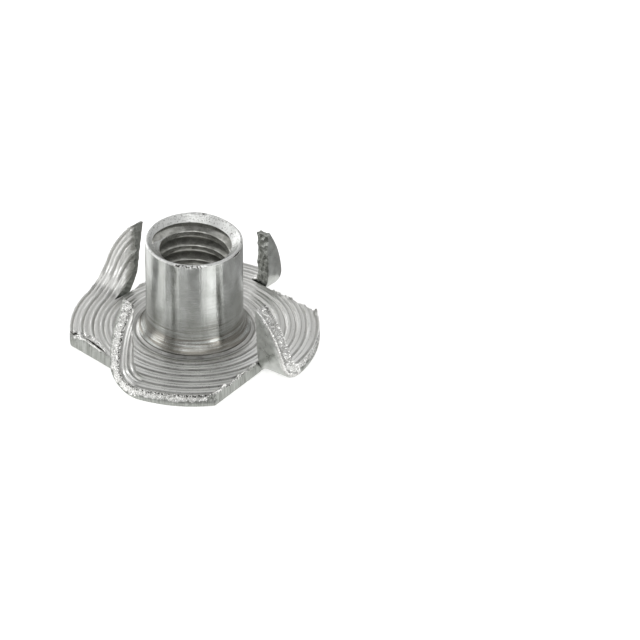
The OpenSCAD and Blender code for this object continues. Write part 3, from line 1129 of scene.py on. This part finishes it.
# Scuffs are about 0.03 mm wide, and are drawn 0.08 mm wide to show.
scuffs = speckle(tree, place, (0.08, 1.4, 1.0), 2.0)
cloudy = add_node(tree, "MapRange", {1: 0.35, 2: 0.65}, {0: clouds})
gloss = add_node(tree, "MapRange", {1: 0.3, 2: 0.7, 3: 0.24, 4: 0.38}, {0: clouds})
colour = painted(tree, "#A3A5A1", (cloudy, "#BFC1BD"))
bumped = relief(tree, (clouds, 0.018), (scuffs, 0.002))
connect(shader, {"Base Color": colour, "Normal": bumped, "Roughness": gloss})
print("pressed:", len(tree.nodes), "nodes")

# %% [markdown]
# ### Sheared stainless steel
# The walls that the punch sheared are dull, with drag lines the way it moved. The lines are 0.05 mm apart on
# the real metal, and are drawn 0.13 mm apart so that they show.

# %% Sheared
tree, shader, place = steel("sheared_stainless", 0.36)
drags = speckle(tree, place, (0.13, 0.13, 1.6), 3.0)
pits = speckle(tree, place, (0.16, 0.16, 0.16), 3.0)
dragged_share = add_node(tree, "MapRange", {1: 0.35, 2: 0.65}, {0: drags})
gloss = add_node(tree, "MapRange", {1: 0.3, 2: 0.7, 3: 0.28, 4: 0.46}, {0: pits})
colour = painted(tree, "#888A85", (dragged_share, "#AEB0AC"))
bumped = relief(tree, (drags, 0.011), (pits, 0.012))
connect(shader, {"Base Color": colour, "Normal": bumped, "Roughness": gloss})
print("sheared:", len(tree.nodes), "nodes")

# %% [markdown]
# ### Broken stainless steel
# The walls that broke are crystalline: hard little facets that catch the light one by one. Just under the top
# edge, where the metal tore last, there are pits that get painted shade. The steel's grains are about 0.05 mm
# across, and their facets are drawn at 0.09 mm so that they show. Facets differ in tone at random, and the
# lightest are painted glints. The front right prong has fewer shaded pits and more dark flecks, and the
# bottom of its rim gets painted shade.

# %% Facets of broken metal
tree, shader, place = steel("broken_stainless", 0.28)
scaled = add_node(tree, "VectorMath", {"operation": "DIVIDE", 1: (0.09, 0.09, 0.2)}, {0: place})
facets = add_node(tree, "TexVoronoi", {"Scale": 1.0}, {"Vector": scaled})
tone = add_node(tree, "SeparateXYZ", links={0: facets.outputs["Color"]})
crumbs = speckle(tree, place, (0.07, 0.07, 0.16), 3.0)
swells = speckle(tree, place, (0.3, 0.3, 0.25), 2.0)
sides = add_node(tree, "SeparateXYZ", links={0: place})
level = sides.outputs["Z"]
rougher = add_node(tree, "MapRange", {1: 0.2, 2: 0.9, 3: 0.45, 4: 1.0}, {0: level})
edges = add_node(tree, "Math", {"operation": "ADD"}, {0: crumbs, 1: facets.outputs["Distance"]})
chips = add_node(tree, "Math", {"operation": "MULTIPLY"}, {0: edges, 1: rougher})
bumped = relief(tree, (swells, 0.035), (chips, 0.026))
print("facets:", len(tree.nodes), "nodes")

# %% Broken
front_right_from, front_right_to = 11.2, 12.2
right, depth_way = sides.outputs["X"], sides.outputs["Y"]
ahead_right = add_node(tree, "Math", {"operation": "SUBTRACT"}, {0: right, 1: depth_way})
on_front_right = add_node(tree, "MapRange", {1: front_right_from, 2: front_right_to}, {0: ahead_right})
pit_share = add_node(tree, "MapRange", {1: front_right_from, 2: front_right_to, 3: 1.0, 4: 0.12}, {0: ahead_right})
fleck_share = add_node(tree, "MapRange", {1: front_right_from, 2: front_right_to, 3: 0.12, 4: 0.3}, {0: ahead_right})
# Pits just under the top edge get painted shade, with fewer on the front right prong.
top_edge = add_node(tree, "MapRange", {1: 0.88, 2: 1.0}, {0: level})
pits = add_node(tree, "MapRange", {1: 0.46, 2: 0.54, 3: 1.0, 4: 0.0}, {0: crumbs})
top_pits = add_node(tree, "Math", {"operation": "MULTIPLY"}, {0: top_edge, 1: pits})
pit_shade = add_node(tree, "Math", {"operation": "MULTIPLY"}, {0: top_pits, 1: pit_share})
small_flecks = add_node(tree, "MapRange", {1: 0.4, 2: 0.5, 3: 1.0, 4: 0.0}, {0: crumbs})
flecks = add_node(tree, "Math", {"operation": "MULTIPLY"}, {0: small_flecks, 1: fleck_share})
# The bottom of the front right prong's rim gets painted shade.
low_down = add_node(tree, "MapRange", {1: 0.45, 2: 0.1, 3: 0.0, 4: 0.65}, {0: level})
foot_shade = add_node(tree, "Math", {"operation": "MULTIPLY"}, {0: low_down, 1: on_front_right})
flecks_and_foot_shade = add_node(tree, "Math", {"operation": "MAXIMUM"}, {0: flecks, 1: foot_shade})
# Facets differ in tone at random, and the lightest are painted glints.
toned = add_node(tree, "Math", {"operation": "ADD"}, {0: tone.outputs["X"], 1: crumbs})
painted_glint = add_node(tree, "MapRange", {1: 0.6, 2: 1.4}, {0: toned})
gloss = add_node(tree, "MapRange", {3: 0.2, 4: 0.42}, {0: tone.outputs["Y"]})
colour = painted(tree, "#C8C8C5", (painted_glint, "#F6F6F4"), (flecks_and_foot_shade, "#7C7B77"), (pit_shade, "#3A3935"))
connect(shader, {"Base Color": colour, "Normal": bumped, "Roughness": gloss})
print("broken:", len(tree.nodes), "nodes")

# %% [markdown]
# ### Tapped stainless steel
# The tap leaves torn flanks with lines that run along the thread. Cutting oil has dried on them, so they are
# a little brown, and not all of what comes back is a mirror's reflection.

# %% Tapped
tree, shader, place = steel("tapped_stainless", 0.2)
shader.inputs["Metallic"].default_value = 0.75
# The torn lines are about 0.03 mm apart, and are drawn 0.07 mm apart to show.
lines = speckle(tree, place, (3.0, 3.0, 0.07), 2.0)
clouds = speckle(tree, place, (0.6, 0.6, 0.3), 3.0)
stained = add_node(tree, "MapRange", {1: 0.35, 2: 0.65}, {0: clouds})
colour = painted(tree, "#969690", (stained, "#C1C1BC"))
bumped = relief(tree, (lines, 0.004), (clouds, 0.004))
connect(shader, {"Base Color": colour, "Normal": bumped})
print("tapped:", len(tree.nodes), "nodes")

# %% [markdown]
# ### Squeezed stainless steel
# The burr was squeezed out between punch and die, which left it smooth and bright, with a crack where it
# folded over on itself that gets painted shade. The marks knocked into the lip were squeezed as well, and get
# the same painted shade.

# %% Squeezed
tree, shader, place = steel("squeezed_stainless", 0.24)
crack = add_node(tree, "Attribute", {"attribute_name": "crack"}).outputs["Fac"]
lumps = speckle(tree, place, (0.16, 0.16, 0.16), 2.0)
polished = add_node(tree, "MapRange", {1: 0.35, 2: 0.65}, {0: lumps})
# Painted shade (#4A4945) in the crack of the great burr and in the marks at the lip.
crack_shade = add_node(tree, "MapRange", {1: 0.18, 2: 0.5}, {0: crack})
colour = painted(tree, "#CDCDCA", (polished, "#EDEDEB"), (crack_shade, "#4A4945"))
connect(shader, {"Base Color": colour, "Normal": relief(tree, (lumps, 0.008))})
print("materials:", [material.name for material in nut.data.materials])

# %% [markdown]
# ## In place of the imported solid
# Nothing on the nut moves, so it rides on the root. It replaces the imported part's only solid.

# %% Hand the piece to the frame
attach(nut, "root")
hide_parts("tee_nut")
print(nut.name, "rides on the frame")

# %% [markdown]
# ## Studio
# Metal shows its surroundings more than itself, and a turned barrel draws them out into upright bands. The
# nut stands on a pale floor under a grey sky. The sky is dark straight overhead, which keeps the flanks of
# the thread dark. A barrel seen from above mirrors the floor, so its bands are made with grey and white cards
# that lie there and are seen only in reflections. The boxes of light are mostly low, where the foot mirrors
# them.

# %% Floor
floor_size = 1.2
floor = make_object("floor", [(-floor_size, -floor_size, 0), (floor_size, -floor_size, 0),
                              (floor_size, floor_size, 0), (-floor_size, floor_size, 0)], [(0, 1, 2, 3)])
paper = bpy.data.materials.new("white_paper")
paper.use_nodes = True
paper_shader = paper.node_tree.nodes["Principled BSDF"]
paper_shader.inputs["Base Color"].default_value = linear("#F6F6F5")
paper_shader.inputs["Roughness"].default_value = 0.9
paper_shader.inputs["Emission Color"].default_value = (1, 1, 1, 1)
paper_shader.inputs["Emission Strength"].default_value = 0.6
floor.data.materials.append(paper)
print("floor", 2 * floor_size, "m wide")

# %% Cards that only the metal sees
card_inner_r = 0.0103
card_outer_r = 0.08
card_lift = 0.0001
# Name, first and last azimuth in degrees, and brightness.
cards = (
    ("white_card", 26, 60, 1.75),
    ("grey_card_right", 60, 100, 0.5),
    ("dark_card_right", 100, 165, 0.42),
    ("grey_card_front_left", -32, -14, 0.8),
    ("grey_card_front", -14, 14, 0.54),
    ("grey_card_left", -64, -50, 0.6),
    ("dark_card_left", -104, -84, 0.4),
)


def card(name, first, last, radiance):
    """Sector on the floor round the nut, seen only in its reflections. Azimuth 0 is in front."""
    steps = 12
    ways = [math.radians(first + (last - first) * i / steps) for i in range(steps + 1)]
    points = [(r * math.sin(t), -r * math.cos(t), card_lift)
              for r in (card_inner_r, card_outer_r) for t in ways]
    made = make_object(name, points, [(i, steps + 1 + i, steps + 2 + i, i + 1) for i in range(steps)])
    glow = bpy.data.materials.new(name)
    glow.use_nodes = True
    glow.node_tree.nodes.clear()
    light = add_node(glow.node_tree, "Emission", {"Strength": radiance})
    add_node(glow.node_tree, "OutputMaterial", links={"Surface": light})
    made.data.materials.append(glow)
    made.visible_camera = made.visible_diffuse = made.visible_shadow = False


for name, first, last, radiance in cards:
    card(name, first, last, radiance)
print(len(cards), "cards lie round the nut")

# %% Sky
world = bpy.data.worlds.new("studio")
world.use_nodes = True
bpy.context.scene.world = world
# Brightness by the sine of the height above the horizon, which is 0 there and 1 straight overhead.
horizon = 0.25
overhead = 0.15
between = ((0.55, 0.68), (0.82, 0.72), (0.91, 0.55), (0.96, 0.2))
tree = world.node_tree
background = tree.nodes["Background"]
way = add_node(tree, "TexCoord").outputs["Generated"]
rise = add_node(tree, "SeparateXYZ", links={0: way}).outputs["Z"]
sky = add_node(tree, "ValToRGB", links={0: rise})
stops = sky.color_ramp.elements
stops[0].color = (horizon, horizon, horizon, 1)
stops[1].color = (overhead, overhead, overhead, 1)
for height, radiance in between:
    stops.new(height).color = (radiance, radiance, radiance, 1)
connect(background, {"Color": sky})
background.inputs["Strength"].default_value = 1.0
print("sky with", len(stops), "stops")

# %% Soft boxes
# Name, azimuth and height in degrees, size in metres, and brightness.
soft_boxes = (
    ("key", 45, 7, (0.24, 0.22), 3.4),
    ("front_top", -5, 58, (0.4, 0.16), 1.2),
    ("front_low", 0, 34, (0.6, 0.2), 1.1),
    ("left_window", -84, 9, (0.3, 0.24), 2.8),
    ("left_top", -98, 36, (0.4, 0.24), 0.6),
    ("back_left", -138, 12, (0.3, 0.2), 2.0),
    ("back_window", 180, 10, (0.7, 0.2), 1.0),
)


def soft_box(name, azimuth, height, size, radiance, reach=0.6):
    """Area light that faces the nut. Azimuth 0 is in front of the nut and 90 to its right, in degrees."""
    light = bpy.data.lights.new(name, "AREA")
    light.shape = "RECTANGLE"
    light.size, light.size_y = size
    light.energy = radiance * math.pi * size[0] * size[1]
    lamp = bpy.data.objects.new(name, light)
    side, rise = math.radians(azimuth), math.radians(height)
    way = Vector((math.sin(side) * math.cos(rise), -math.cos(side) * math.cos(rise), math.sin(rise)))
    lamp.location = way * reach
    lamp.rotation_euler = way.to_track_quat("Z", "Y").to_euler()
    bpy.context.scene.collection.objects.link(lamp)


for name, azimuth, height, size, radiance in soft_boxes:
    soft_box(name, azimuth, height, size, radiance)
print(len(soft_boxes), "soft boxes")

# %% [markdown]
# ## Camera
# The view is a long lens from in front and above. The frame is 640 pixels square, and the nut stands left of
# its middle, so the camera is turned a little to the right of the nut.

# %% Camera
elevation = math.radians(33.14)
roll = math.radians(0.53)
distance = 0.5
focal_px = 6599.5
frame_px = 640
look_at = Vector((0, 0, 0.0045))
look_px = (194.4, 288.8)
camera_data = bpy.data.cameras.new("camera")
camera_data.sensor_width = 36.0
camera_data.lens = focal_px / frame_px * camera_data.sensor_width
camera_data.clip_start = 0.01
camera_data.clip_end = 10
camera = bpy.data.objects.new("camera", camera_data)
bpy.context.scene.collection.objects.link(camera)
bpy.context.scene.camera = camera

back = Vector((0, -math.cos(elevation), math.sin(elevation)))
straight = Matrix((Vector((1, 0, 0)), back.cross(Vector((1, 0, 0))), back)).transposed()
half_frame = frame_px / 2
ray = Vector(((look_px[0] - half_frame) / focal_px, (half_frame - look_px[1]) / focal_px, -1)).normalized()
swing = ray.rotation_difference(Vector((0, 0, -1))).to_matrix()
turned = straight @ Matrix.Rotation(-roll, 3, "Z") @ swing
camera.matrix_world = Matrix.LocRotScale(look_at + back * distance, turned.to_quaternion(), None)
print("lens", round(camera_data.lens, 1), "mm")

# %% Colour as it is, with no film look
bpy.context.scene.view_settings.view_transform = "Standard"
bpy.context.scene.view_settings.look = "None"
print("view transform:", bpy.context.scene.view_settings.view_transform)
